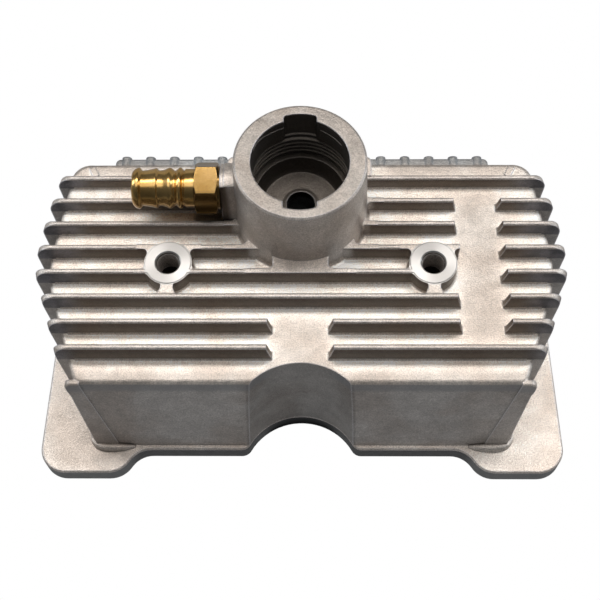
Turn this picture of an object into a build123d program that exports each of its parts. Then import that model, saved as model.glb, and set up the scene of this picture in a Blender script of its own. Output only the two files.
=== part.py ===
from build123d import *
import os

os.makedirs("parts", exist_ok=True)

# Finned cast rocker cover for a two-cylinder engine, in millimetres.
# X runs along the fins, Y runs to the rear and Z points up.
# The origin is the centre of the gasket face, which lies at Z = 0.

# Heights above the gasket face
flange_thickness = 10.0
plate_height = 72.0
plate_thickness = 4.5
boss_height = plate_height + 9.4
neck_height = plate_height + 45.0

# Flange: straight sides, two ears at the front and a recessed front edge between them
flange_rear_y = 72.5
flange_ear_y = -72.5
flange_recess_y = -61.0
flange_rear_half = 121.0
flange_ear_half = 126.5
flange_rear_corner = 16.0
flange_ear_corner = 12.5
ear_front_half = 86.5
recess_half = 79.0
ear_curve = 12.0
flange_edge_chamfer = 0.8

# Body: outline at plate level, and how far each wall has moved where it meets the flange
body_rear_y = 62.3
body_front_y = -51.3
body_rear_half = 109.6
body_widest_half = 117.6
body_widest_y = 2.0
body_front_half = 100.0
body_rear_corner = 9.0
body_widest_round = 60.0
body_front_corner = 5.0
front_wall_run = 7.4
rear_wall_run = 1.5
side_wall_run = 7.0
wall_thickness = 4.0
body_edge_round = 2.5

# Half-round arch through the front wall and the flange
arch_y = -72.3
arch_radius_flange = 28.3
arch_radius_top = 30.6
arch_corner_round = 5.0

# Fins: a row across the top, each running down both side walls to the flange
fin_count = 8
fin_pitch = 12.62
rear_fin_y = 49.8
fin_height_rear = 7.6
fin_height_front = 11.1
fin_tip_thickness = 2.5
fin_foot_thickness = 2.9
fin_tip_chamfer = 0.75
fin_foot_chamfer = 0.8
fin_end_round = 7.0
fin_side_draft = 1.6
fin_end_run = 3.4

# Plan outline that the fin ends follow: a bow to the rear, straight tapers to the front
outline_rear_y = 56.0
outline_bow_y = 27.0
outline_widest_y = 2.0
outline_front_y = -54.6
outline_rear_half = 113.4
outline_bow_half = 119.4
outline_widest_half = 121.7
outline_front_half = 103.0
outline_round = 30.0

# Corner fin beside the front wall on each side, and the cast foot below it
corner_fin_rise = 0.6
corner_fin_thickness = 2.8
corner_fin_drop = 0.5
corner_fin_tip_x = 104.2
corner_fin_nose = 4.0
corner_fin_side_x = 102.6
corner_fin_side_fall = 11.0
corner_fin_foot_x = 98.4
corner_fin_inner_x = 97.4
corner_fin_inner_foot_x = 87.0
corner_fin_edge_round = 1.2
corner_foot_x = 92.5
corner_foot_y = -55.0
corner_foot_radius = 3.2
corner_foot_length = 12.0
corner_foot_turn = 60.0

# Bare field at the right, where the fins stop, and the gap above the arch
field_start_x = 72.4
field_end_x = 91.2
field_front_y = -32.0
field_rear_y = 43.0
arch_gap_half = 12.4
arch_gap_front_y = -45.0
arch_gap_rear_y = -20.0
gap_height = 16.0

# Two bosses for the cover studs, flush with the fins and tied to them
stud_spacing = 120.0
stud_y = 3.5
boss_radius = 10.8
boss_foot_round = 1.6
boss_edge_chamfer = 0.5
stud_hole_diameter = 10.6
stud_hole_mouth = 12.0
boss_tube_radius = 9.0
boss_tube_length = 26.0
boss_join_drop = 0.3
boss_join_round = 2.2
web_waist_half = 2.8
web_foot_half = 4.8
web_waist_y = -8.9
web_round = 0.9

# Filler neck with a two-slot bayonet mouth
neck_y = 34.8
neck_radius = 29.45
neck_foot_radius = 30.9
neck_edge_chamfer = 0.8
neck_foot_round = 2.4
neck_join_inset = 0.4
neck_join_round = 2.6
neck_bridge_half = 12.6
mouth_radius = 21.75
lip_depth = 14.5
slot_radius = 24.6
slot_width = 14.7
slot_corner_round = 1.2
groove_radius = 23.6
ridge_radius = 22.3
ridge_count = 4
ridge_pitch = 2.9
ridge_half_width = 0.9
well_radius_top = 20.6
well_radius_floor = 17.6
floor_height = plate_height + 7.7
floor_thickness = 3.5
floor_hole_radius = 6.55
floor_ring_radius = 8.6
floor_ring_rise = 0.7
neck_pad_left_x = -35.0
neck_pad_right_x = 33.4
neck_pad_height = plate_height + 8.2
neck_pad_rear_y = 61.0

# Breather port boss on the left of the neck
port_height = plate_height + 22.3
port_boss_radius = 11.3
port_boss_x = -34.3
port_face_radius = 10.9
port_face_x = -36.0
port_bore_radius = 5.6
port_flat_top_y = 29.6
port_flat_foot_y = 25.4

# Rear wall: a shelf below plate level with upright ribs, and a ridge near each corner
shelf_half = 90.0
shelf_rear_y = 66.6
shelf_drop = 2.5
rib_first_x = 38.4
rib_pitch = 11.6
rib_count = 5
rib_width = 4.7
rib_front_y = 60.0
rib_rear_y = 67.3
rib_drop = 1.6

# Short raised ridge across each rear corner of the plate
ridge_x = 99.4
ridge_y = 57.4
ridge_length = 5.6
ridge_width = 3.2
ridge_rise = 0.6
ridge_turn = 28.0

# Brass hose fitting, turned in one piece, lying along X at the port
bead_end_x = -76.7
bead_inner_x = -72.8
crest_positions = (-66.1, -59.7, -55.3)
crest_half_width = 1.9
plain_start_x = -52.6
hex_start_x = -48.3
hex_end_x = -37.9
bead_radius = 9.35
bead_round = 1.2
crest_radius = 9.25
valley_radius = 8.45
plain_radius = 9.0
hex_across_flats = 21.5
hex_turn = 12.0
hex_corner_radius = 12.35
hex_chamfer_radius = 10.8
hex_chamfer_length = 0.9
collar_radius = 9.8
spigot_length = 8.0
spigot_clearance = 0.05
fitting_bore_radius = 4.6


fin_gaps = (
    (-arch_gap_half, arch_gap_half, arch_gap_front_y, arch_gap_rear_y),
    (field_start_x, field_end_x, field_front_y, field_rear_y),
    (stud_spacing / 2, field_start_x, stud_y - boss_radius, stud_y + 2),
)


def fin_height_at(y):
    """Height of a fin above the plate, growing evenly from the rear fin to the front fin."""
    share = (rear_fin_y - y) / (fin_pitch * (fin_count - 1))
    return fin_height_rear + share * (fin_height_front - fin_height_rear)


def body_outline(height, sink, inset):
    """Plan outline of the body at a height; sink runs from 0 at the plate to 1 at the flange."""
    rear = body_rear_y + rear_wall_run * sink - inset
    front = body_front_y - front_wall_run * sink + inset
    shrink = side_wall_run * sink + inset
    with BuildSketch(Plane.XY.offset(height)) as outline:
        with BuildLine():
            Polyline(
                (body_rear_half - shrink, rear),
                (body_widest_half - shrink, body_widest_y),
                (body_front_half - shrink, front),
                (shrink - body_front_half, front),
                (shrink - body_widest_half, body_widest_y),
                (shrink - body_rear_half, rear),
                close=True,
            )
        make_face()
        ordered = outline.vertices().group_by(Axis.Y)
        fillet(ordered[-1], radius=body_rear_corner)
        fillet(outline.vertices().filter_by(lambda v: abs(v.Y - front) < 0.01), radius=body_front_corner)
        fillet(
            outline.vertices().filter_by(lambda v: abs(v.Y - body_widest_y) < 0.01),
            radius=body_widest_round,
        )
    return outline.sketch


def arch_circle(height, radius):
    """Circle of the arch at a height."""
    with BuildSketch(Plane.XY.offset(height)) as circle:
        with Locations((0, arch_y)):
            Circle(radius)
    return circle.sketch


# Space taken up by the arch, with and without the wall that stands round it
with BuildPart() as arch:
    loft([arch_circle(flange_thickness, arch_radius_flange), arch_circle(plate_height, arch_radius_top)])
    extrude(arch_circle(0, arch_radius_flange), amount=flange_thickness)
    extrude(arch_circle(plate_height, arch_radius_top), amount=1)

with BuildPart() as arch_and_wall:
    loft(
        [
            arch_circle(flange_thickness, arch_radius_flange + wall_thickness),
            arch_circle(plate_height, arch_radius_top + wall_thickness),
        ]
    )
    extrude(arch_circle(-1, arch_radius_flange + wall_thickness), amount=flange_thickness + 1)

# Hollow inside of the cover, open at the gasket face
with BuildPart() as hollow:
    loft(
        [
            body_outline(flange_thickness, 1.0, wall_thickness),
            body_outline(plate_height - plate_thickness, 0.0, wall_thickness),
        ],
        ruled=True,
    )
    extrude(body_outline(-1, 1.0, wall_thickness), amount=flange_thickness + 1)
    with BuildSketch(Plane.XY.offset(-1)) as shelf_hollow:
        with Locations((0, (shelf_rear_y - wall_thickness) / 2)):
            Rectangle(2 * (shelf_half - wall_thickness), shelf_rear_y - wall_thickness)
        fillet(shelf_hollow.vertices().group_by(Axis.Y)[-1], radius=3)
    extrude(shelf_hollow.sketch, amount=plate_height - shelf_drop - wall_thickness + 1)
    add(arch_and_wall.part, mode=Mode.SUBTRACT)

# Everything above the even slope of the fin tops
with BuildPart() as over_fins:
    with BuildSketch(Plane.YZ):
        with BuildLine():
            Polyline(
                (flange_ear_y, plate_height + fin_height_at(flange_ear_y)),
                (flange_rear_y, plate_height + fin_height_at(flange_rear_y)),
                (flange_rear_y, neck_height),
                (flange_ear_y, neck_height),
                close=True,
            )
        make_face()
    extrude(amount=flange_ear_half, both=True)

# Space that the fins may fill, bowed in plan and rounded over at the ends
with BuildPart() as fin_space:
    with BuildSketch(Plane.XY.offset(plate_height)) as fin_plan:
        with BuildLine():
            ThreePointArc(
                (outline_rear_half, outline_rear_y),
                (outline_bow_half, outline_bow_y),
                (outline_widest_half, outline_widest_y),
            )
            Polyline(
                (outline_widest_half, outline_widest_y),
                (outline_front_half, outline_front_y),
                (-outline_front_half, outline_front_y),
                (-outline_widest_half, outline_widest_y),
            )
            ThreePointArc(
                (-outline_widest_half, outline_widest_y),
                (-outline_bow_half, outline_bow_y),
                (-outline_rear_half, outline_rear_y),
            )
            Line((-outline_rear_half, outline_rear_y), (outline_rear_half, outline_rear_y))
        make_face()
        fillet(
            fin_plan.vertices().filter_by(lambda v: abs(v.Y - outline_widest_y) < 0.01),
            radius=outline_round,
        )
    extrude(fin_plan.sketch, amount=20)
    extrude(fin_plan.sketch, amount=-plate_height, taper=fin_side_draft)
    add(over_fins.part, mode=Mode.SUBTRACT)
    top_face = fin_space.faces().sort_by(Axis.Z)[-1]
    end_edges = top_face.edges().filter_by(lambda e: abs(e.center().X) > 20)
    fillet(end_edges, radius=fin_end_round)

with BuildPart() as fins:
    for number in range(fin_count):
        fin_y = rear_fin_y - number * fin_pitch
        fin_top = plate_height + fin_height_at(fin_y)
        foot = fin_foot_thickness / 2
        tip = fin_tip_thickness / 2
        with BuildSketch(Plane.YZ) as fin_section:
            with BuildLine():
                Polyline(
                    (fin_y - foot, flange_thickness - 1),
                    (fin_y - foot, plate_height),
                    (fin_y - tip, fin_top),
                    (fin_y + tip, fin_top),
                    (fin_y + foot, plate_height),
                    (fin_y + foot, flange_thickness - 1),
                    close=True,
                )
            make_face()
            chamfer(fin_section.vertices().group_by(Axis.Y)[-1], length=fin_tip_chamfer)
        extrude(amount=150, both=True)
    add(fin_space.part, mode=Mode.INTERSECT)
    for start_x, end_x, front_y, rear_y in fin_gaps:
        with BuildSketch(Plane.XZ.offset(-front_y)) as gap:
            with BuildLine():
                Polyline(
                    (start_x, plate_height),
                    (end_x, plate_height),
                    (end_x + fin_end_run, plate_height + gap_height),
                    (start_x - fin_end_run, plate_height + gap_height),
                    close=True,
                )
            make_face()
        extrude(amount=front_y - rear_y, mode=Mode.SUBTRACT)

# Small slope where each fin stands on the plate
with BuildPart() as fin_feet:
    for number in range(fin_count):
        fin_y = rear_fin_y - number * fin_pitch
        near = fin_foot_thickness / 2
        far = near + fin_foot_chamfer
        with BuildSketch(Plane.YZ) as foot_section:
            with BuildLine():
                Polyline(
                    (fin_y - far, plate_height - 1),
                    (fin_y - far, plate_height),
                    (fin_y - near, plate_height + fin_foot_chamfer),
                    (fin_y + near, plate_height + fin_foot_chamfer),
                    (fin_y + far, plate_height),
                    (fin_y + far, plate_height - 1),
                    close=True,
                )
            make_face()
        extrude(amount=150, both=True)
    extrude(
        body_outline(plate_height - 2, 0.0, body_edge_round + 0.5),
        amount=8,
        mode=Mode.INTERSECT,
    )
    for start_x, end_x, front_y, rear_y in fin_gaps:
        with BuildSketch(Plane.XY.offset(plate_height)) as foot_gap:
            with Locations(((start_x + end_x) / 2, (front_y + rear_y) / 2)):
                Rectangle(end_x - start_x, rear_y - front_y)
        extrude(amount=6, mode=Mode.SUBTRACT)

with BuildPart() as flange:
    with BuildSketch() as flange_plan:
        with BuildLine():
            Polyline(
                (flange_rear_half, flange_rear_y),
                (flange_ear_half, flange_ear_y),
                (ear_front_half, flange_ear_y),
                (recess_half, flange_recess_y),
                (-recess_half, flange_recess_y),
                (-ear_front_half, flange_ear_y),
                (-flange_ear_half, flange_ear_y),
                (-flange_rear_half, flange_rear_y),
                close=True,
            )
        make_face()
        fillet(flange_plan.vertices().group_by(Axis.Y)[-1], radius=flange_rear_corner)
        ears = flange_plan.vertices().filter_by(lambda v: v.Y < 0 and abs(v.X) > ear_front_half + 1)
        fillet(ears, radius=flange_ear_corner)
        curves = flange_plan.vertices().filter_by(lambda v: recess_half - 1 < abs(v.X) < ear_front_half + 1)
        fillet(curves, radius=ear_curve)
        with Locations((0, arch_y)):
            Circle(arch_radius_flange, mode=Mode.SUBTRACT)
        notch = flange_plan.vertices().filter_by(lambda v: abs(v.X) < arch_radius_flange)
        fillet(notch.filter_by(lambda v: abs(v.Y - flange_recess_y) < 0.01), radius=arch_corner_round)
    extrude(amount=flange_thickness)
    chamfer(flange.faces().sort_by(Axis.Z)[-1].edges(), length=flange_edge_chamfer)

# Neck and stud bosses are turned shapes with a flared foot on the plate
def turned_post(x, y, radius, foot_radius, top, foot_round, edge_chamfer):
    """Upright post with a concave foot radius, as a sketch to revolve about its own axis."""
    far = foot_radius + foot_round
    with BuildSketch(Plane((x, y, 0), x_dir=(1, 0, 0), z_dir=(0, -1, 0))) as section:
        with BuildLine():
            Polyline((0, top), (0, plate_height - 2), (far, plate_height - 2), (far, plate_height))
            RadiusArc((far, plate_height), (foot_radius, plate_height + foot_round), foot_round)
            Polyline((foot_radius, plate_height + foot_round), (radius, top), (0, top))
        make_face()
        rim = section.vertices().filter_by(lambda v: v.Y > top - 0.01 and v.X > 1)
        chamfer(rim, length=edge_chamfer)
    return section.sketch


def on_circle(shape, x, y, radius):
    """Corners of a plan that lie on a circle."""
    return shape.vertices().filter_by(lambda v: abs(((v.X - x) ** 2 + (v.Y - y) ** 2) ** 0.5 - radius) < 0.01)


# Bars that run from the bosses and the neck into the fins, filleted in plan where they meet
fin_y_at = [rear_fin_y - number * fin_pitch for number in range(fin_count)]
bar_width = fin_tip_thickness - 0.1
bar_reach = boss_radius + 4
with BuildPart() as fin_joins:
    for stud_x, rear_end, front_end in (
        (-stud_spacing / 2, bar_reach - stud_spacing / 2, bar_reach - stud_spacing / 2),
        (stud_spacing / 2, field_start_x, stud_spacing / 2),
    ):
        with BuildSketch(Plane.XY.offset(plate_height - 1)) as boss_plan:
            with Locations((stud_x, stud_y)):
                Circle(boss_radius)
            for fin_y, end_x in ((fin_y_at[3], rear_end), (fin_y_at[4], front_end)):
                start_x = stud_x - bar_reach
                with Locations(((start_x + end_x) / 2, fin_y)):
                    Rectangle(end_x - start_x, bar_width)
            with BuildLine():
                Polyline(
                    (stud_x - web_waist_half, stud_y),
                    (stud_x - web_waist_half, web_waist_y),
                    (stud_x - web_foot_half, fin_y_at[5]),
                    (stud_x + web_foot_half, fin_y_at[5]),
                    (stud_x + web_waist_half, web_waist_y),
                    (stud_x + web_waist_half, stud_y),
                    close=True,
                )
            make_face()
            corners = on_circle(boss_plan, stud_x, stud_y, boss_radius)
            fillet(corners.filter_by(lambda v: abs(v.X - stud_x) > web_waist_half + 0.5), radius=boss_join_round)
            corners = on_circle(boss_plan, stud_x, stud_y, boss_radius)
            fillet(corners.filter_by(lambda v: abs(v.X - stud_x) < web_waist_half + 0.5), radius=web_round)
        extrude(amount=boss_height - boss_join_drop - plate_height + 1)
    neck_join_radius = neck_foot_radius - neck_join_inset
    with BuildSketch(Plane.XY.offset(plate_height - 1)) as neck_plan:
        with Locations((0, neck_y)):
            Circle(neck_join_radius)
        for fin_y in (fin_y_at[2], fin_y_at[3]):
            with Locations((0, fin_y)):
                Rectangle(2 * neck_join_radius + 10, bar_width)
        with Locations((neck_join_radius / 2 + 4, fin_y_at[1])):
            Rectangle(neck_join_radius + 8, bar_width)
        with Locations((0, fin_y_at[4])):
            Rectangle(4 * neck_bridge_half, bar_width)
        with Locations((0, (fin_y_at[4] + neck_y) / 2)):
            Rectangle(2 * neck_bridge_half, neck_y - fin_y_at[4])
        fillet(on_circle(neck_plan, 0, neck_y, neck_join_radius), radius=neck_join_round)
        bridge_corners = neck_plan.vertices().filter_by(
            lambda v: abs(abs(v.X) - neck_bridge_half) < 0.01 and v.Y < fin_y_at[4] + bar_width
        )
        fillet(bridge_corners, radius=boss_join_round)
    extrude(amount=neck_height - plate_height)
    add(over_fins.part, mode=Mode.SUBTRACT)


# Fins that follow the front wall's slope down its two corners
front_wall_plane = Plane(
    (0, body_front_y, plate_height),
    x_dir=(1, 0, 0),
    z_dir=(0, flange_thickness - plate_height, front_wall_run),
)
front_wall_foot = flange_thickness - plate_height - 3
with BuildPart() as corner_fins:
    for side in (-1, 1):
        with BuildSketch(front_wall_plane.offset(corner_fin_rise)) as corner_fin:
            with BuildLine():
                Polyline(
                    (side * corner_fin_inner_x, -corner_fin_drop),
                    (side * corner_fin_tip_x, -corner_fin_drop),
                    (side * corner_fin_tip_x, -corner_fin_drop - corner_fin_nose),
                    (side * corner_fin_side_x, -corner_fin_side_fall),
                    (side * corner_fin_foot_x, front_wall_foot),
                    (side * corner_fin_inner_foot_x, front_wall_foot),
                    close=True,
                )
            make_face()
            nose = corner_fin.vertices().filter_by(lambda v: abs(v.X) > corner_fin_tip_x - 0.01)
            fillet(nose.sort_by(Axis.Y)[-1], radius=corner_fin_nose - 0.2)
        extrude(amount=-corner_fin_thickness)
    fillet(corner_fins.edges().filter_by(Axis.X).group_by(Axis.Z)[-1], radius=corner_fin_edge_round)


with BuildPart() as valve_cover:
    # Walls and plate, with the arch taken out of the front
    loft([body_outline(flange_thickness, 1.0, 0.0), body_outline(plate_height, 0.0, 0.0)], ruled=True)
    fillet(valve_cover.faces().sort_by(Axis.Z)[-1].edges(), radius=body_edge_round)
    add(arch.part, mode=Mode.SUBTRACT)
    add(flange.part)
    add(fins.part)
    add(fin_feet.part)
    # corner fins beside the front wall, each with a cast foot on the flange
    add(corner_fins.part)
    for side in (-1, 1):
        with Locations((side * corner_foot_x, corner_foot_y, flange_thickness)):
            Cylinder(corner_foot_radius, corner_foot_length, rotation=(90, side * corner_foot_turn, 0))
    # rear shelf and its upright ribs
    with BuildSketch(Plane.XY.offset(flange_thickness - 1)) as shelf:
        with Locations((0, shelf_rear_y - 10)):
            Rectangle(2 * shelf_half, 20)
        fillet(shelf.vertices().group_by(Axis.Y)[-1], radius=body_edge_round)
    extrude(amount=plate_height - shelf_drop - flange_thickness + 1)
    shelf_edge = valve_cover.edges().filter_by(Axis.X).filter_by(
        lambda e: abs(e.center().Y - shelf_rear_y) < 0.01 and e.center().Z > flange_thickness + 1
    )
    fillet(shelf_edge, radius=1.0)
    for side in (-1, 1):
        for number in range(rib_count):
            with BuildSketch(Plane.XZ.offset(-rib_front_y)) as rib:
                with Locations(
                    (
                        side * (rib_first_x + number * rib_pitch),
                        (plate_height - rib_drop + flange_thickness) / 2,
                    )
                ):
                    Rectangle(rib_width, plate_height - rib_drop - flange_thickness)
                fillet(rib.vertices().group_by(Axis.Y)[-1], radius=rib_width / 2 - 0.3)
            extrude(amount=rib_front_y - rib_rear_y)
        with Locations(Location((side * ridge_x, ridge_y, plate_height), (0, 0, -side * ridge_turn))):
            Box(ridge_width, ridge_length, 2 * ridge_rise)
    # stud bosses, faced off above the fins that run into them
    for side in (-1, 1):
        stud_x = side * stud_spacing / 2
        section = turned_post(
            stud_x, stud_y, boss_radius, boss_radius, boss_height, boss_foot_round, boss_edge_chamfer
        )
        revolve(section, axis=Axis((stud_x, stud_y, 0), (0, 0, 1)))
    # filler neck, its pad at the rear and the port boss on its left
    section = turned_post(
        0, neck_y, neck_radius, neck_foot_radius, neck_height, neck_foot_round, neck_edge_chamfer
    )
    revolve(section, axis=Axis((0, neck_y, 0), (0, 0, 1)))
    with BuildSketch(Plane.XY.offset(plate_height - 1)) as neck_pad:
        with Locations(((neck_pad_left_x + neck_pad_right_x) / 2, (rear_fin_y + neck_pad_rear_y) / 2)):
            Rectangle(neck_pad_right_x - neck_pad_left_x, neck_pad_rear_y - rear_fin_y)
        fillet(neck_pad.vertices().group_by(Axis.Y)[-1], radius=3)
    extrude(amount=neck_pad_height - plate_height + 1, taper=2)
    for radius, start_x, end_x in (
        (port_boss_radius, port_boss_x, 0),
        (port_face_radius, port_face_x, port_boss_x),
    ):
        with BuildSketch(Plane.YZ.offset(start_x)) as port_boss:
            with Locations((neck_y, port_height)):
                Circle(radius)
            with Locations((neck_y, (port_height + plate_height - 1) / 2)):
                Rectangle(2 * radius, port_height - plate_height + 1)
            with BuildLine():
                Polyline(
                    (port_flat_foot_y, plate_height - 1),
                    (port_flat_top_y, port_height + radius),
                    (port_flat_foot_y - radius, port_height + radius),
                    (port_flat_foot_y - radius, plate_height - 1),
                    close=True,
                )
            make_face(mode=Mode.SUBTRACT)
        extrude(amount=end_x - start_x)
    add(fin_joins.part)

    # hollow underside, with a recess below the neck and a tube round each stud
    add(hollow.part, mode=Mode.SUBTRACT)
    with BuildSketch(Plane.XY.offset(plate_height - plate_thickness - 1)) as neck_recess:
        with Locations((0, neck_y)):
            Circle(well_radius_floor)
    extrude(amount=floor_height - floor_thickness - plate_height + plate_thickness + 1, mode=Mode.SUBTRACT)
    with BuildSketch(Plane.XY.offset(plate_height - 1)) as tubes:
        with GridLocations(stud_spacing, 0, 2, 1):
            with Locations((0, stud_y)):
                Circle(boss_tube_radius)
    extrude(amount=-boss_tube_length, taper=1.0)

    # stud holes with a turned mouth, below the faced-off bosses
    with BuildSketch(Plane.XY.offset(boss_height)):
        with GridLocations(stud_spacing, 0, 2, 1):
            with Locations((0, stud_y)):
                Circle(boss_radius + 0.3)
    extrude(amount=2, mode=Mode.SUBTRACT)
    with BuildSketch() as stud_holes:
        with GridLocations(stud_spacing, 0, 2, 1):
            with Locations((0, stud_y)):
                Circle(stud_hole_diameter / 2)
    extrude(amount=boss_height + 1, mode=Mode.SUBTRACT)
    with BuildSketch(Plane.XY.offset(boss_height)) as stud_mouths:
        with GridLocations(stud_spacing, 0, 2, 1):
            with Locations((0, stud_y)):
                Circle(stud_hole_mouth / 2)
    extrude(amount=-(stud_hole_mouth - stud_hole_diameter) / 2, taper=45, mode=Mode.SUBTRACT)

    # neck interior: lip, ridged band, tapered well and a floor with a raised ring round its hole
    lip_bottom = neck_height - lip_depth
    well_top = lip_bottom - (ridge_count + 1) * ridge_pitch
    with BuildSketch(Plane((0, neck_y, 0), x_dir=(1, 0, 0), z_dir=(0, -1, 0))) as neck_inside:
        with BuildLine():
            band = [(groove_radius, lip_bottom)]
            for number in range(ridge_count):
                middle = lip_bottom - (number + 1) * ridge_pitch
                band.append((groove_radius, middle + ridge_half_width))
                band.append((ridge_radius, middle + ridge_half_width / 2))
                band.append((ridge_radius, middle - ridge_half_width / 2))
                band.append((groove_radius, middle - ridge_half_width))
            Polyline(
                (0, neck_height + 1),
                (mouth_radius, neck_height + 1),
                (mouth_radius, lip_bottom),
                *band,
                (groove_radius, well_top),
                (well_radius_top, well_top),
                (well_radius_floor, floor_height),
                (floor_ring_radius, floor_height),
                (floor_hole_radius, floor_height + floor_ring_rise),
                (floor_hole_radius, floor_height - floor_thickness - 2),
                (0, floor_height - floor_thickness - 2),
                close=True,
            )
        make_face()
    revolve(axis=Axis((0, neck_y, 0), (0, 0, 1)), mode=Mode.SUBTRACT)
    with BuildSketch(Plane.XY.offset(lip_bottom)) as slots:
        with Locations((0, neck_y)):
            Circle(slot_radius)
            Rectangle(slot_width, 2 * slot_radius, mode=Mode.INTERSECT)
        fillet(slots.vertices(), radius=slot_corner_round)
    extrude(amount=lip_depth + 1, mode=Mode.SUBTRACT)
    with BuildSketch(Plane.YZ.offset(port_face_x)) as port_bore:
        with Locations((neck_y, port_height)):
            Circle(port_bore_radius)
    extrude(amount=-port_face_x - mouth_radius, mode=Mode.SUBTRACT)

valve_cover.part.label = "valve_cover"
export_step(valve_cover.part, "parts/valve_cover.step")

# Hexagon of the fitting, its ends turned off to a chamfer
with BuildPart() as hexagon:
    with BuildSketch(Plane.YZ.offset(hex_start_x)):
        with Locations((neck_y, port_height)):
            RegularPolygon(hex_across_flats / 2, 6, major_radius=False, rotation=hex_turn)
    extrude(amount=hex_end_x - hex_start_x)
    with BuildSketch(Plane.XZ.offset(-neck_y)):
        with BuildLine():
            Polyline(
                (hex_start_x, port_height),
                (hex_start_x, port_height + hex_chamfer_radius),
                (hex_start_x + hex_chamfer_length, port_height + hex_corner_radius),
                (hex_end_x - hex_chamfer_length, port_height + hex_corner_radius),
                (hex_end_x, port_height + hex_chamfer_radius),
                (hex_end_x, port_height),
                close=True,
            )
        make_face()
    revolve(axis=Axis((0, neck_y, port_height), (1, 0, 0)), mode=Mode.INTERSECT)

with BuildPart() as hose_fitting:
    with BuildSketch(Plane.XZ.offset(-neck_y)):
        with BuildLine():
            barb = []
            for crest_x in crest_positions:
                barb.append((crest_x - crest_half_width, port_height + valley_radius))
                barb.append((crest_x, port_height + crest_radius))
                barb.append((crest_x + crest_half_width, port_height + valley_radius))
            Polyline(
                (bead_end_x, port_height),
                (bead_end_x, port_height + bead_radius - bead_round),
                (bead_end_x + bead_round, port_height + bead_radius),
                (bead_inner_x - bead_round, port_height + bead_radius),
                (bead_inner_x, port_height + valley_radius),
                *barb,
                (plain_start_x, port_height + valley_radius),
                (plain_start_x + 0.6, port_height + plain_radius),
                (hex_start_x + 1, port_height + plain_radius),
                (hex_start_x + 1, port_height + port_bore_radius),
                (hex_end_x, port_height + port_bore_radius),
                (hex_end_x, port_height + collar_radius),
                (port_face_x, port_height + collar_radius),
                (port_face_x, port_height + port_bore_radius - spigot_clearance),
                (port_face_x + spigot_length, port_height + port_bore_radius - spigot_clearance),
                (port_face_x + spigot_length, port_height),
                close=True,
            )
        make_face()
    revolve(axis=Axis((0, neck_y, port_height), (1, 0, 0)))
    add(hexagon.part)
    with BuildSketch(Plane.YZ.offset(bead_end_x)):
        with Locations((neck_y, port_height)):
            Circle(fitting_bore_radius)
    extrude(amount=port_face_x + spigot_length - bead_end_x, mode=Mode.SUBTRACT)

hose_fitting.part.label = "hose_fitting"
export_step(hose_fitting.part, "parts/hose_fitting.step")
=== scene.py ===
import math

import bpy
from mathutils import Matrix, Vector


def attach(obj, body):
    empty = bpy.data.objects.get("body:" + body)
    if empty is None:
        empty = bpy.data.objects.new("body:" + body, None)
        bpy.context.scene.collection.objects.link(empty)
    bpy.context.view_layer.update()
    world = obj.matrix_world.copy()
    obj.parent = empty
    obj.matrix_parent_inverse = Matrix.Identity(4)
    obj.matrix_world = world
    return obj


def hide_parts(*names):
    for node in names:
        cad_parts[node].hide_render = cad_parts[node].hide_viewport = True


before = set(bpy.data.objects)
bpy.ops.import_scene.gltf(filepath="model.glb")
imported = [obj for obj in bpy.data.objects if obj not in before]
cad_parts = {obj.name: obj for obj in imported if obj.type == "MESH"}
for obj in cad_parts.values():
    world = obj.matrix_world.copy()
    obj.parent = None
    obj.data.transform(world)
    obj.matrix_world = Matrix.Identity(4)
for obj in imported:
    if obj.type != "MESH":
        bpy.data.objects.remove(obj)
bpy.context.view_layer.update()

# Places on the casting, in metres, in the row frame
NECK_X, NECK_Y = 0.0, 0.0348
MOUTH_RADIUS = 0.02175
STUD_X, STUD_Y = 0.060, 0.0035
BOSS_TOP = 0.0814
PORT_Z = 0.0943
ARCH_Y = -0.0723
ARCH_FOOT_RADIUS = 0.0279
ARCH_SPREAD = 0.0371
UNDER_HEX_X, UNDER_HEX_Y = -0.0430, 0.0318

# Fitting in millimetres: x and radius along the barb, from its mouth to the hexagon
BARB_OUTLINE = (
    (-75.80, 7.6),
    (-75.45, 8.1),
    (-74.90, 8.6),
    (-74.00, 9.1),
    (-73.20, 9.35),
    (-72.70, 9.3),
    (-72.20, 8.7),
    (-71.70, 8.05),
    (-71.30, 7.95),
    (-69.60, 8.2),
    (-67.10, 8.6),
    (-65.70, 8.95),
    (-65.20, 9.05),
    (-64.80, 8.9),
    (-64.20, 8.2),
    (-63.70, 8.05),
    (-62.60, 8.15),
    (-61.10, 8.45),
    (-59.70, 9.15),
    (-59.10, 9.3),
    (-58.60, 9.2),
    (-57.70, 8.6),
    (-56.90, 7.95),
    (-56.40, 7.95),
    (-55.40, 8.75),
    (-54.70, 9.3),
    (-54.30, 9.35),
    (-53.80, 9.15),
    (-52.80, 8.1),
    (-52.40, 8.0),
    (-52.05, 8.6),
    (-51.70, 8.75),
    (-47.40, 8.75),
)
HEX_START, HEX_END = -47.4, -37.0
HEX_APOTHEM = 10.75
HEX_FACE_RADIUS = 10.8
HEX_CHAMFER = 0.9
HEX_RISE = 1.55
HEX_TURN = math.radians(12.0)
HEX_STEPS = 9
FITTING_STEPS = 144

# Thin collar, spigot in the port and open bore, from the hexagon back to the barb's mouth
COLLAR_TO_BORE = (
    (HEX_END, 9.8),
    (-36.2, 9.8),
    (-36.05, 9.6),
    (-36.05, 5.5),
    (-28.0, 5.5),
    (-28.0, 4.6),
    (-75.4, 4.6),
    (-75.8, 5.0),
)

# Threads of the stud holes, in metres
THREAD_TOP = 0.0806
THREAD_LENGTH = 0.020
THREAD_PITCH = 0.00125
THREAD_ROOT, THREAD_CREST = 0.00528, 0.00478
THREAD_STEPS = 40

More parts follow.
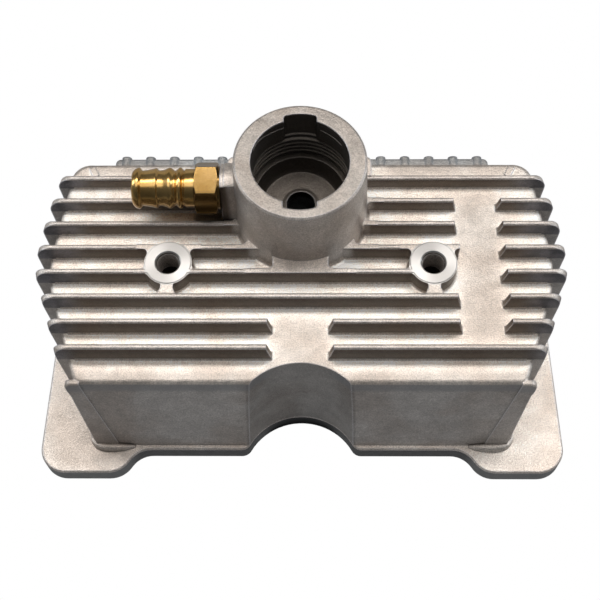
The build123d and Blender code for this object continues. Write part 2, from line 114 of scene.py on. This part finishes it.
# Edges of the bayonet ramps: angle in degrees and height in metres
LEFT_RAMP = (
    (163.0, 0.1152),
    (148.0, 0.1150),
    (133.0, 0.1130),
    (122.0, 0.1122),
    (110.0, 0.1120),
)
RIGHT_RAMP = ((66.0, 0.1111), (58.0, 0.1110), (40.0, 0.1110), (32.0, 0.1112))
RAMP_STEPS = 6
RAMP_RADIUS = 0.00035
RAMP_SINK = 0.00005

# Right corner roll: x, y, z of the middle and the radius, in metres
CORNER_ROLL = (
    (0.0805, -0.0594, 0.0103, 0.0008),
    (0.0840, -0.0598, 0.0106, 0.0016),
    (0.0880, -0.0600, 0.0109, 0.0022),
    (0.0930, -0.0600, 0.0110, 0.0024),
    (0.0975, -0.0592, 0.0108, 0.0022),
    (0.1004, -0.0566, 0.0105, 0.0016),
    (0.1020, -0.0535, 0.0102, 0.0008),
)
CORNER_STEPS = 5
ROLL_SIDES = 16

# Camera, fitted to the photograph's fins, bosses and neck
CAMERA_PLACE = Vector((0.00671, -0.23873, 0.54070))
CAMERA_DOWN = math.radians(64.0564)
CAMERA_YAW = math.radians(1.7463)
CAMERA_ROLL = math.radians(-1.5784)
CAMERA_LENS = 69.0

# Softboxes: name, place, target, size, watts and colour
SOFTBOXES = (
    ("key", (0.0, 0.36, 1.30), (0.0, 0.0, 0.07), (1.8, 0.22), 7.4, (1.0, 0.95, 0.905)),
    ("overhead", (0.0, 0.08, 1.34), (0.0, 0.0, 0.07), (2.4, 1.1), 9.0, (1.0, 0.955, 0.915)),
    ("left_strip", (-1.1, 0.3, 0.5), (0.0, 0.0, 0.05), (0.3, 0.7), 2.5, (0.88, 0.94, 1.0)),
    ("right_strip", (1.1, 0.3, 0.5), (0.0, 0.0, 0.05), (0.3, 0.7), 3.0, (0.88, 0.94, 1.0)),
)
WORLD_COLOUR = (0.9, 0.95, 1.0, 1.0)
WORLD_STRENGTH = 0.12

# Table round the cover: its corners, the opening left below the cover, and their heights
TABLE_CORNERS = ((-1.5, -1.5), (1.5, -1.5), (1.5, 1.5), (-1.5, 1.5))
TABLE_OPENING = ((-0.105, -0.05), (0.105, -0.05), (0.105, 0.06), (-0.105, 0.06))
TABLE_Z = -0.001
DARK_Z = -0.0015
TABLE_GLOW = 0.30
CARD_GLOW = 0.35

# Noise: features a metre, detail, roughness and distortion
GRAIN = (1500.0, 3.0, 0.6, 0.0)
COARSE = (420.0, 4.0, 0.6, 0.0)
BLOTCH = (110.0, 3.0, 0.55, 0.3)
STAIN = (30.0, 4.0, 0.55, 0.4)
BRASS_STAIN = (160.0, 4.0, 0.6, 0.0)
BRASS_GRAIN = (2200.0, 2.0, 0.5, 0.0)

# Colours of the casting, and of the painted light and shade on it
SKIN_BROWN = (0.63, 0.560, 0.500, 1.0)
SKIN_PALE = (0.75, 0.695, 0.640, 1.0)
# the tones from here to the neck's inside are painted shade and highlight
WALL_SHADE_TINT = (0.70, 0.725, 0.765)
REAR_SHADE_TINT = (0.50, 0.56, 0.62)
FIN_FACE_SHADE_LOW = (0.27, 0.235, 0.205, 1.0)
FIN_FACE_SHADE_HIGH = (0.125, 0.102, 0.085, 1.0)
FIN_END_SHADE_DARK = (0.15, 0.155, 0.18, 1.0)
FIN_END_SHADE_PALE = (0.27, 0.27, 0.30, 1.0)
FRONT_BAND_SHADE = (0.26, 0.27, 0.29, 1.0)
FLANGE_EDGE_SHADE = (0.115, 0.118, 0.122, 1.0)
EAR_EDGE_SHADE = (0.25, 0.255, 0.26, 1.0)
RUBBED_EDGE_HIGHLIGHT = (0.82, 0.81, 0.86, 1.0)
POCKET_SHADE_BROWN = (0.16, 0.14, 0.12, 1.0)
INSIDE_NECK_SHADE = (0.055, 0.047, 0.038, 1.0)
LATHE_TONE = (0.61, 0.60, 0.585)
WHITE = (1.0, 1.0, 1.0)

# Colours of the brass
BRASS_DARK = (0.70, 0.43, 0.14, 1.0)
BRASS_PALE = (0.80, 0.52, 0.20, 1.0)
TARNISH = (0.22, 0.12, 0.03, 1.0)

# Where a look sets in, in metres: nothing of it at the first value, all of it at the second
PLATE_FROM_ABOVE = (0.0760, 0.0735)
PLATE_FROM_BELOW = (0.0700, 0.0715)
PLATE_FRONT = (-0.0440, -0.0480)
FLANGE_TOP = (0.0120, 0.0110)
FLANGE_EDGE = (0.0102, 0.0098)
FLANGE_LEFT_TO_RIGHT = (-0.120, 0.120)
EAR = (0.078, 0.084)
FIN_FOOT = (0.0715, 0.0725)
FIN_RISE = (0.0725, 0.0800)
FIN_END = (0.096, 0.108)
OUTSIDE_NECK = (0.0318, 0.0350)
FRONT_BAND_FOOT = (0.0630, 0.0665)
FRONT_BAND_REAR = (-0.044, -0.047)
ARCH_WALL = (0.0016, 0.0006)
BOSS_FACE_RIM = (0.0114, 0.0110)
BOSS_FACE_DEPTH = (0.0006, 0.0004)
HOLE_RIM = (0.0056, 0.0054)
HOLE_TOP = (0.0810, 0.0806)
HOLE_WALL = (0.0049, 0.0053)
NECK_RIM = (0.0300, 0.0296)
NECK_RIM_TOP = (0.1165, 0.1168)
NECK_INSIDE = (0.0250, 0.0246)
NECK_BELOW_RIM = (0.1165, 0.1160)
NECK_ABOVE_PLATE = (0.0700, 0.0720)
NECK_UPPER_WALL = (0.0975, 0.1060)
NECK_FLOOR = (0.0800, 0.0830)
CAVITY_ARCH = (0.0020, 0.0030)
CAVITY_SIDE = (0.1010, 0.1000)
CAVITY_FRONT = (-0.0465, -0.0455)
CAVITY_REAR = (0.0590, 0.0585)
CAVITY_ROOF = (0.0680, 0.0676)
UNDER_HEX_RADIUS = (0.0090, 0.0055)
UNDER_HEX_TOP = (0.0835, 0.0825)
REAR_WALL = (0.0605, 0.0640)
REAR_WALL_TOP = (0.0740, 0.0730)
REAR_WALL_FOOT = (0.0120, 0.0140)
DRAIN_RIM = (0.0068, 0.0066)
DRAIN_TOP = (0.0800, 0.0796)
BARB_TO_HEX = (-0.0481, -0.0475)


def make_camera():
    """Camera with the place, tilt and focal length fitted to the photograph."""
    side = Vector((math.cos(CAMERA_YAW), math.sin(CAMERA_YAW), 0.0))
    look = Vector(
        (
            -math.sin(CAMERA_YAW) * math.cos(CAMERA_DOWN),
            math.cos(CAMERA_YAW) * math.cos(CAMERA_DOWN),
            -math.sin(CAMERA_DOWN),
        )
    )
    down = look.cross(side)
    right = math.cos(CAMERA_ROLL) * side - math.sin(CAMERA_ROLL) * down
    below = math.sin(CAMERA_ROLL) * side + math.cos(CAMERA_ROLL) * down
    data = bpy.data.cameras.new("camera")
    data.lens = CAMERA_LENS
    data.sensor_width = 36.0
    data.clip_start = 0.01
    data.clip_end = 20.0
    camera = bpy.data.objects.new("camera", data)
    bpy.context.scene.collection.objects.link(camera)
    turn = Matrix((right, -below, -look)).transposed()
    camera.matrix_world = Matrix.Translation(CAMERA_PLACE) @ turn.to_4x4()
    bpy.context.scene.camera = camera


class Shader:
    """A material's node tree, built call by call."""

    def __init__(self, name):
        self.material = bpy.data.materials.new(name)
        self.material.use_nodes = True
        self.tree = self.material.node_tree
        self.tree.nodes.clear()

    def put(self, kind, inputs=None, **settings):
        """Adds a node, sets its properties, and sets or links its inputs by name or number."""
        node = self.tree.nodes.new("ShaderNode" + kind)
        for name, value in settings.items():
            setattr(node, name, value)
        for key, value in (inputs or {}).items():
            socket = node.inputs[key]
            if isinstance(value, bpy.types.NodeSocket):
                self.tree.links.new(value, socket)
            else:
                socket.default_value = value
        return node

    def math(self, operation, first, second=0.0, third=0.0):
        """A Math node's result."""
        node = self.put("Math", {0: first, 1: second, 2: third}, operation=operation)
        return node.outputs[0]

    def product(self, first, *others):
        """Shares multiplied, so that all of them have to hold."""
        result = first
        for other in others:
            result = self.math("MULTIPLY", result, other)
        return result

    def axes(self, vector):
        """A vector's x, y and z."""
        return self.put("SeparateXYZ", {0: vector}).outputs

    def axis_gap(self, place, x, y):
        """Distance from an upright axis through x, y."""
        place_x, place_y, _ = self.axes(place)
        dx = self.math("SUBTRACT", place_x, x)
        dy = self.math("SUBTRACT", place_y, y)
        square = self.math("MULTIPLY_ADD", dx, dx, self.math("MULTIPLY", dy, dy))
        return self.math("SQRT", square)

    def noise(self, place, scale, detail, roughness, distortion):
        """Noise at so many features a metre."""
        node = self.put(
            "TexNoise",
            {
                "Vector": place,
                "Scale": scale,
                "Detail": detail,
                "Roughness": roughness,
                "Distortion": distortion,
            },
        )
        return node.outputs["Fac"]

    def ramp(self, value, low, high, start=0.0, end=1.0):
        """Maps a value from low..high to start..end in a soft step, held at both ends."""
        node = self.put(
            "MapRange",
            {"Value": value, 1: low, 2: high, 3: start, 4: end},
            interpolation_type="SMOOTHSTEP",
            clamp=True,
        )
        return node.outputs[0]

    def mix(self, share, first, second):
        """Blend of two colours."""
        node = self.put(
            "Mix", {0: share, 6: first, 7: second}, data_type="RGBA", clamp_factor=True
        )
        return node.outputs[2]

    def vector(self, operation, first, second):
        """A Vector Math node's vector result."""
        return self.put("VectorMath", {0: first, 1: second}, operation=operation).outputs[0]

    def scale_colour(self, colour, factor):
        """A colour made lighter or darker."""
        node = self.put("VectorMath", {0: colour, "Scale": factor}, operation="SCALE")
        return node.outputs[0]

    def shade(self, colour, share, factor):
        """A colour scaled by a factor where the share is full."""
        return self.scale_colour(colour, self.ramp(share, 0.0, 1.0, 1.0, factor))

    def openness(self, distance, samples):
        """Share of open space round a point, within a distance."""
        node = self.put("AmbientOcclusion", {"Distance": distance}, samples=samples)
        return node.outputs["AO"]

    def rounded_normal(self, radius):
        """Normal of the surface with its edges rounded."""
        return self.put("Bevel", {"Radius": radius}, samples=6).outputs[0]

    def finish(self, shader):
        """Links the surface to the output and returns the material."""
        out = self.put("OutputMaterial")
        self.tree.links.new(shader, out.inputs["Surface"])
        return self.material


class CastAluminium(Shader):
    """Sand casting: fine grain, soft mottling, rubbed edges with a painted highlight, painted
    shade in pockets, and painted light and shade on its faces.
    """

    def __init__(self):
        super().__init__("cast_aluminium")
        self.place = self.put("TexCoord").outputs["Object"]
        self.x, self.y, self.height = self.axes(self.place)
        self.side = self.math("ABSOLUTE", self.x)
        self.grain = self.noise(self.place, *GRAIN)
        self.coarse = self.noise(self.place, *COARSE)
        self.blotch = self.noise(self.place, *BLOTCH)
        self.neck_gap = self.axis_gap(self.place, NECK_X, NECK_Y)
        left_gap = self.axis_gap(self.place, -STUD_X, STUD_Y)
        right_gap = self.axis_gap(self.place, STUD_X, STUD_Y)
        self.stud_gap = self.math("MINIMUM", left_gap, right_gap)
        arch_gap = self.axis_gap(self.place, 0.0, ARCH_Y)
        arch_reach = self.math("MULTIPLY_ADD", self.height, ARCH_SPREAD, ARCH_FOOT_RADIUS)
        self.past_arch = self.math("SUBTRACT", arch_gap, arch_reach)
        self.normal = self.put("NewGeometry").outputs["Normal"]
        self.tilt = self.math("ABSOLUTE", self.axes(self.normal)[2])
        self.rounded = self.rounded_normal(0.0011)
        self.open_share = self.openness(0.003, 6)
        # edges, where the rounded normal turns from the face's own: worn to a lower roughness, and
        # given a painted highlight
        facing = self.put("VectorMath", {0: self.rounded, 1: self.normal}, operation="DOT_PRODUCT")
        edge = self.ramp(facing.outputs["Value"], 0.995, 0.86)
        self.wear_and_edge_highlight = self.product(edge, self.ramp(self.open_share, 0.75, 0.95))

    def skin(self):
        """Mottled tone of the cast skin."""
        stain = self.noise(self.place, *STAIN)
        tone = self.mix(self.ramp(stain, 0.38, 0.62), SKIN_BROWN, SKIN_PALE)
        tone = self.scale_colour(tone, self.ramp(self.grain, 0.3, 0.7, 0.79, 1.21))
        for mottle in (self.coarse, self.blotch):
            tone = self.scale_colour(tone, self.ramp(mottle, 0.35, 0.65, 0.93, 1.07))
        return tone

    def level_faces(self, tone):
        """Painted light: the plate brighter between the fins and a little darker at its front
        edge, and the flange's top brighter toward the right.
        """
        on_plate = self.product(
            self.ramp(self.tilt, 0.80, 0.95),
            self.ramp(self.height, *PLATE_FROM_ABOVE),
            self.ramp(self.height, *PLATE_FROM_BELOW),
        )
        # painted light: the plate between the fins up to 1.52 times brighter where nearby walls
        # close it in, a little darker at its front edge
        painted_light_between_fins = self.product(
            self.ramp(self.openness(0.012, 8), 0.95, 0.60, 0.90, 1.52),
            self.ramp(self.y, *PLATE_FRONT, 1.0, 0.90),
        )
        tone = self.mix(on_plate, tone, self.scale_colour(tone, painted_light_between_fins))
        # painted light: the flange's top brighter from left to right
        painted_light_on_flange = self.ramp(self.x, *FLANGE_LEFT_TO_RIGHT, 1.04, 1.22)
        flange_painted_light = self.scale_colour(tone, painted_light_on_flange)
        return self.mix(self.ramp(self.height, *FLANGE_TOP), tone, flange_painted_light)

    def fin_faces(self):
        """Upright faces of the fins in painted shade: brown, darkest at the top and lighter at the
        foot, and greyer and bluer at the ends.
        """
        # painted shade on the fins' faces: darkest at the top, lighter at the foot
        tone = self.mix(self.ramp(self.height, *FIN_RISE), FIN_FACE_SHADE_LOW, FIN_FACE_SHADE_HIGH)
        # painted shade at the fins' ends: greyer and bluer, varied at random
        end_shade = self.mix(self.ramp(self.blotch, 0.35, 0.65), FIN_END_SHADE_DARK, FIN_END_SHADE_PALE)
        tone = self.mix(self.ramp(self.side, *FIN_END, 0.0, 0.75), tone, end_shade)
        return self.scale_colour(tone, self.ramp(self.grain, 0.3, 0.7, 0.85, 1.15))

    def upright_faces(self, tone):
        """Painted shade on upright faces: walls darker and bluer, fins, arch, a band under the
        front edge, and the flange's edge, lighter at the ears.
        """
        # painted shade: upright faces take a darker, bluer copy of the skin's tone
        wall = self.vector("MULTIPLY", tone, WALL_SHADE_TINT)
        among_fins = self.product(
            self.ramp(self.height, *FIN_FOOT), self.ramp(self.neck_gap, *OUTSIDE_NECK)
        )
        wall = self.mix(among_fins, wall, self.fin_faces())
        # painted shade on the arch's wall
        wall = self.shade(wall, self.ramp(self.past_arch, *ARCH_WALL), 0.75)
        # painted shade: a grey band under the front edge
        front_band_shade = self.product(
            self.ramp(self.height, *FRONT_BAND_FOOT), self.ramp(self.y, *FRONT_BAND_REAR), 0.55
        )
        wall = self.mix(front_band_shade, wall, FRONT_BAND_SHADE)
        # painted shade on the flange's edge, lighter at the ears
        flange_edge_shade = self.mix(self.ramp(self.side, *EAR), FLANGE_EDGE_SHADE, EAR_EDGE_SHADE)
        wall = self.mix(self.ramp(self.height, *FLANGE_EDGE), wall, flange_edge_shade)
        # upright faces take the painted shade, level faces keep the skin's tone
        return self.mix(self.ramp(self.tilt, 0.55, 0.20), tone, wall)

    def edges_and_pockets(self, tone):
        """Painted highlight on rubbed edges, and painted shade in narrow pockets."""
        # painted highlight: edges lighter and bluish
        tone = self.mix(self.product(self.wear_and_edge_highlight, 0.8), tone, RUBBED_EDGE_HIGHLIGHT)
        # painted shade in narrow pockets, from the share of open space round them
        pocket_shade = self.ramp(self.open_share, 0.50, 0.20)
        return self.mix(self.product(pocket_shade, 0.75), tone, POCKET_SHADE_BROWN)

    def openings(self, tone):
        """Painted shade in the stud holes and inside the neck, and the neck's rim darker."""
        # painted shade in the stud holes, dark at the thread's roots
        hole = self.product(
            self.ramp(self.stud_gap, *HOLE_RIM), self.ramp(self.height, *HOLE_TOP)
        )
        hole_shade = self.scale_colour(tone, self.ramp(self.stud_gap, *HOLE_WALL, 0.85, 0.15))
        tone = self.mix(hole, tone, hole_shade)
        rim = self.product(
            self.ramp(self.neck_gap, *NECK_RIM), self.ramp(self.height, *NECK_RIM_TOP)
        )
        tone = self.shade(tone, rim, 0.66)
        # painted shade inside the neck, from below the rim down to the plate
        inside_neck_shade = self.product(
            self.ramp(self.neck_gap, *NECK_INSIDE),
            self.ramp(self.height, *NECK_BELOW_RIM),
            self.ramp(self.height, *NECK_ABOVE_PLATE),
            self.ramp(self.height, *NECK_UPPER_WALL, 0.92, 0.80),
            self.ramp(self.height, *NECK_FLOOR, 0.86, 1.0),
        )
        return self.mix(inside_neck_shade, tone, INSIDE_NECK_SHADE)

    def dark_places(self, tone):
        """Painted shade in the hidden cavity, a painted shadow under the hexagon, and painted
        shade on the rear wall and in the drain hole.
        """
        # painted shade in the hidden cavity
        cavity = self.product(
            self.ramp(self.past_arch, *CAVITY_ARCH),
            self.ramp(self.side, *CAVITY_SIDE),
            self.ramp(self.y, *CAVITY_FRONT),
            self.ramp(self.y, *CAVITY_REAR),
            self.ramp(self.height, *CAVITY_ROOF),
        )
        tone = self.shade(tone, cavity, 0.2)
        # painted shadow under the hexagon
        under_hexagon = self.product(
            self.ramp(self.axis_gap(self.place, UNDER_HEX_X, UNDER_HEX_Y), *UNDER_HEX_RADIUS),
            self.ramp(self.height, *UNDER_HEX_TOP),
        )
        tone = self.shade(tone, under_hexagon, 0.30)
        # painted shade: the rear wall darker and bluer
        rear = self.product(
            self.ramp(self.y, *REAR_WALL),
            self.ramp(self.height, *REAR_WALL_TOP),
            self.ramp(self.height, *REAR_WALL_FOOT),
        )
        tone = self.mix(rear, tone, self.vector("MULTIPLY", tone, REAR_SHADE_TINT))
        # painted shade in the drain hole
        drain = self.product(
            self.ramp(self.neck_gap, *DRAIN_RIM), self.ramp(self.height, *DRAIN_TOP)
        )
        return self.shade(tone, drain, 0.10)

    def cast_surface(self):
        """The cast skin, with every face's tone, painted light and shade, and a fine bump."""
        tone = self.skin()
        tone = self.level_faces(tone)
        tone = self.upright_faces(tone)
        tone = self.edges_and_pockets(tone)
        tone = self.openings(tone)
        tone = self.dark_places(tone)
        tone = self.vector("MINIMUM", tone, WHITE)
        rough = self.ramp(self.coarse, 0.3, 0.7, 0.44, 0.54)
        rough = self.math("SUBTRACT", rough, self.product(self.wear_and_edge_highlight, 0.12))
        bump_height = self.math("MULTIPLY_ADD", self.coarse, 0.6, self.grain)
        bump = self.put(
            "Bump",
            {
                "Strength": 1.0,
                "Distance": 0.00017,
                "Height": bump_height,
                "Normal": self.rounded,
            },
        )
        return self.put(
            "BsdfPrincipled",
            {
                "Base Color": tone,
                "Metallic": 0.9,
                "Roughness": rough,
                "Normal": bump.outputs[0],
            },
        )

    def lathe_surface(self):
        """Turned face of a stud boss, in lighter and darker sectors of painted sheen."""
        boss_x = self.math("SUBTRACT", self.side, STUD_X)
        boss_y = self.math("SUBTRACT", self.y, STUD_Y)
        turn = self.math("ARCTAN2", boss_y, boss_x)
        # painted sheen: the turned face lighter and darker by sectors round its axis
        sectors = self.math("SINE", self.math("MULTIPLY_ADD", turn, 2.0, 0.6))
        tone = self.scale_colour(LATHE_TONE, self.ramp(sectors, -1.0, 1.0, 0.78, 1.15))
        return self.put("BsdfPrincipled", {"Base Color": tone, "Metallic": 0.9, "Roughness": 0.30})

    def build(self):
        """Cast skin all over, but for the turned faces of the two stud bosses."""
        depth = self.math("ABSOLUTE", self.math("SUBTRACT", self.height, BOSS_TOP))
        turned = self.product(
            self.ramp(self.stud_gap, *BOSS_FACE_RIM), self.ramp(depth, *BOSS_FACE_DEPTH)
        )
        cast = self.cast_surface().outputs[0]
        lathe = self.lathe_surface().outputs[0]
        return self.finish(self.put("MixShader", {0: turned, 1: cast, 2: lathe}).outputs[0])


def brass():
    """Turned brass, tarnished in the grooves, with painted shade on faces toward the front and on
    the hexagon.
    """
    s = Shader("brass")
    place = s.put("TexCoord").outputs["Object"]
    along = s.axes(place)[0]
    stain = s.noise(place, *BRASS_STAIN)
    tone = s.mix(s.ramp(stain, 0.35, 0.65), BRASS_DARK, BRASS_PALE)
    tone = s.mix(s.ramp(s.openness(0.003, 6), 0.7, 0.3, 0.0, 0.7), tone, TARNISH)
    # painted shade: faces turned toward the front darker
    toward_front = s.axes(s.put("NewGeometry").outputs["Normal"])[1]
    tone = s.scale_colour(tone, s.ramp(toward_front, -0.35, -0.90, 1.0, 0.42))
    # painted shade on the hexagon
    tone = s.scale_colour(tone, s.ramp(along, *BARB_TO_HEX, 1.0, 0.47))
    bump = s.put(
        "Bump",
        {
            "Strength": 0.25,
            "Distance": 0.00003,
            "Height": s.noise(place, *BRASS_GRAIN),
            "Normal": s.rounded_normal(0.0004),
        },
    )
    surface = s.put(
        "BsdfPrincipled",
        {
            "Base Color": tone,
            "Metallic": 1.0,
            "Roughness": s.ramp(along, *BARB_TO_HEX, 0.21, 0.12),
            "Normal": bump.outputs[0],
        },
    )
    return s.finish(surface.outputs[0])


def glow_material(name, strength):
    """Plain white glow, the same all over."""
    s = Shader(name)
    glow = s.put("Emission", {"Color": (1.0, 1.0, 1.0, 1.0), "Strength": strength})
    return s.finish(glow.outputs[0])


def paint(obj, material):
    """Gives an object one material."""
    obj.data.materials.clear()
    obj.data.materials.append(material)


def belongs(obj, material):
    """Paints a piece and ties it to the part's body and material slot."""
    paint(obj, material)
    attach(obj, "root")


def area_light(name, place, target, size, energy, colour):
    """Rectangular softbox at a place, facing a target."""
    data = bpy.data.lights.new(name, "AREA")
    data.shape = "RECTANGLE"
    data.size, data.size_y = size
    data.energy = energy
    data.color = colour
    light = bpy.data.objects.new(name, data)
    bpy.context.scene.collection.objects.link(light)
    light.location = place
    light.rotation_euler = (Vector(target) - Vector(place)).to_track_quat("-Z", "Y").to_euler()


def make_object(name, points, faces, sharp_angle):
    """Mesh object, shaded smooth but for edges sharper than an angle in degrees."""
    mesh = bpy.data.meshes.new(name)
    mesh.from_pydata(points, [], faces)
    mesh.shade_smooth()
    mesh.set_sharp_from_angle(angle=math.radians(sharp_angle))
    obj = bpy.data.objects.new(name, mesh)
    bpy.context.scene.collection.objects.link(obj)
    return obj


def join_rings(count, size, closed=False):
    """Faces between rings of points, each ring with the same number of points."""
    faces = []
    last = count if closed else count - 1
    for ring in range(last):
        here = ring * size
        there = (ring + 1) % count * size
        for step in range(size):
            after = (step + 1) % size
            faces.append((here + step, here + after, there + after, there + step))
    return faces


def hexagon_radius(angle):
    """Distance from the fitting's axis to its hexagon at an angle."""
    sixth = math.radians(60.0)
    turned = (angle - HEX_TURN + sixth / 2) % sixth - sixth / 2
    return HEX_APOTHEM / math.cos(sixth / 2 - abs(turned))


def turned_fitting():
    """Brass hose fitting with a ridged barb, a chamfered hexagon and an open bore."""
    rings = [(x, radius, False) for x, radius in BARB_OUTLINE]
    for step in range(HEX_STEPS + 1):
        share = step / HEX_STEPS
        rings.append((HEX_START + HEX_CHAMFER * share, HEX_FACE_RADIUS + HEX_RISE * share, True))
    for step in range(HEX_STEPS + 1):
        share = 1 - step / HEX_STEPS
        rings.append((HEX_END - HEX_CHAMFER * share, HEX_FACE_RADIUS + HEX_RISE * share, True))
    for x, radius in COLLAR_TO_BORE:
        rings.append((x, radius, False))
    points = []
    for x, radius, six_sided in rings:
        for step in range(FITTING_STEPS):
            angle = 2 * math.pi * step / FITTING_STEPS
            reach = min(radius, hexagon_radius(angle)) if six_sided else radius
            points.append(
                (
                    x / 1000,
                    NECK_Y + reach / 1000 * math.cos(angle),
                    PORT_Z + reach / 1000 * math.sin(angle),
                )
            )
    faces = join_rings(len(rings), FITTING_STEPS, closed=True)
    return make_object("turned_fitting", points, faces, 24.0)


def thread(name, x, y):
    """Helical thread lining a stud hole."""
    turns = int(THREAD_LENGTH / THREAD_PITCH)
    section = ((0.0, THREAD_ROOT), (0.30, THREAD_CREST), (0.50, THREAD_CREST), (0.80, THREAD_ROOT))
    points = []
    for number in range(turns * THREAD_STEPS + 1):
        angle = 2 * math.pi * number / THREAD_STEPS
        for share, radius in section:
            points.append(
                (
                    x + radius * math.cos(angle),
                    y + radius * math.sin(angle),
                    THREAD_TOP - THREAD_PITCH * (number / THREAD_STEPS + share),
                )
            )
    faces = []
    size = len(section)
    for number in range(turns * THREAD_STEPS):
        here = number * size
        there = here + size
        for step in range(size - 1):
            faces.append((here + step, here + step + 1, there + step + 1, there + step))
    for number in range((turns - 1) * THREAD_STEPS):
        here = number * size + size - 1
        below = (number + THREAD_STEPS) * size
        faces.append((here, below, below + size, here + size))
    return make_object(name, points, faces, 20.0)


def roll(name, path):
    """Rounded run of metal along a path of places and radii, closed at both ends."""
    points = []
    for number, (place, radius) in enumerate(path):
        before = Vector(path[max(number - 1, 0)][0])
        after = Vector(path[min(number + 1, len(path) - 1)][0])
        along = (after - before).normalized()
        side = along.cross(Vector((0.0, 0.0, 1.0))).normalized()
        up = side.cross(along)
        for step in range(ROLL_SIDES):
            angle = 2 * math.pi * step / ROLL_SIDES
            reach = side * math.cos(angle) + up * math.sin(angle)
            points.append(tuple(Vector(place) + radius * reach))
    faces = join_rings(len(path), ROLL_SIDES)
    faces.append(tuple(reversed(range(ROLL_SIDES))))
    last = (len(path) - 1) * ROLL_SIDES
    faces.append(tuple(last + step for step in range(ROLL_SIDES)))
    return make_object(name, points, faces, 60.0)


def smooth_path(knots, steps):
    """Points on an even curve through knots of any number of values."""
    points = []
    for number in range(len(knots) - 1):
        a = knots[max(number - 1, 0)]
        b = knots[number]
        c = knots[number + 1]
        d = knots[min(number + 2, len(knots) - 1)]
        for step in range(steps):
            t = step / steps
            point = []
            for one, two, three, four in zip(a, b, c, d):
                curve = 2 * two + (three - one) * t
                curve += (2 * one - 5 * two + 4 * three - four) * t * t
                curve += (3 * two - one - 3 * three + four) * t * t * t
                point.append(curve / 2)
            points.append(tuple(point))
    points.append(tuple(knots[-1]))
    return points


def mouth_ramp(name, knots):
    """Thin raised edge of a bayonet ramp on the lip's wall, its middle sunk a little into it."""
    path = []
    for angle, height in smooth_path(knots, RAMP_STEPS):
        turn = math.radians(angle)
        reach = MOUTH_RADIUS + RAMP_SINK
        place = (NECK_X + reach * math.cos(turn), NECK_Y + reach * math.sin(turn), height)
        path.append((place, RAMP_RADIUS))
    return roll(name, path)


def corner_roll(name, side):
    """Rounded foot of metal on the flange at a front corner, left (-1) or right (1)."""
    knots = [(side * x, y, z, radius) for x, y, z, radius in CORNER_ROLL]
    path = [((x, y, z), radius) for x, y, z, radius in smooth_path(knots, CORNER_STEPS)]
    return roll(name, path)


def set_light():
    """World light and softboxes, with plain colour handling."""
    scene = bpy.context.scene
    scene.view_settings.view_transform = "Standard"
    scene.view_settings.look = "None"
    world = bpy.data.worlds.new("studio")
    scene.world = world
    world.use_nodes = True
    background = world.node_tree.nodes["Background"]
    background.inputs["Color"].default_value = WORLD_COLOUR
    background.inputs["Strength"].default_value = WORLD_STRENGTH
    for softbox in SOFTBOXES:
        area_light(*softbox)


def set_stage():
    """Pale floor for the camera, a glowing table for the walls, and a card at the rear."""
    bpy.ops.mesh.primitive_plane_add(size=6.0, location=(0.0, 0.0, 0.0))
    floor = bpy.context.object
    floor.name = "floor"
    paint(floor, glow_material("pale_floor", 1.0))
    floor.visible_diffuse = False
    floor.visible_glossy = False

    # the table lights the walls, and is left out below the cover, where it is dark
    table_points = [(x, y, TABLE_Z) for x, y in TABLE_CORNERS + TABLE_OPENING]
    table_faces = [(0, 1, 5, 4), (1, 2, 6, 5), (2, 3, 7, 6), (3, 0, 4, 7)]
    table = make_object("table_bounce", table_points, table_faces, 30.0)
    paint(table, glow_material("table_glow", TABLE_GLOW))
    table.visible_camera = False

    dark_points = [(x, y, DARK_Z) for x, y in TABLE_OPENING]
    dark = make_object("dark_below", dark_points, [(0, 1, 2, 3)], 30.0)
    paint(dark, glow_material("dark_glow", 0.0))
    dark.visible_camera = False

    bpy.ops.mesh.primitive_plane_add(
        size=1.0, location=(0.0, 1.5, 0.3), rotation=(math.radians(90.0), 0.0, 0.0)
    )
    card = bpy.context.object
    card.name = "rear_card"
    card.scale = (3.0, 0.6, 1.0)
    paint(card, glow_material("rear_card_glow", CARD_GLOW))
    card.visible_camera = False


make_camera()
set_light()
set_stage()

casting = CastAluminium().build()
paint(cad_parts["valve_cover"], casting)
brass_metal = brass()
paint(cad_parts["hose_fitting"], brass_metal)

fitting = turned_fitting()
belongs(fitting, brass_metal)
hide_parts("hose_fitting")

for side_name, stud_x in (("left", -STUD_X), ("right", STUD_X)):
    belongs(thread("thread_" + side_name, stud_x, STUD_Y), casting)

for side_name, knots in (("left", LEFT_RAMP), ("right", RIGHT_RAMP)):
    belongs(mouth_ramp("ramp_" + side_name, knots), casting)

for side_name, side in (("left", -1), ("right", 1)):
    belongs(corner_roll("corner_roll_" + side_name, side), casting)
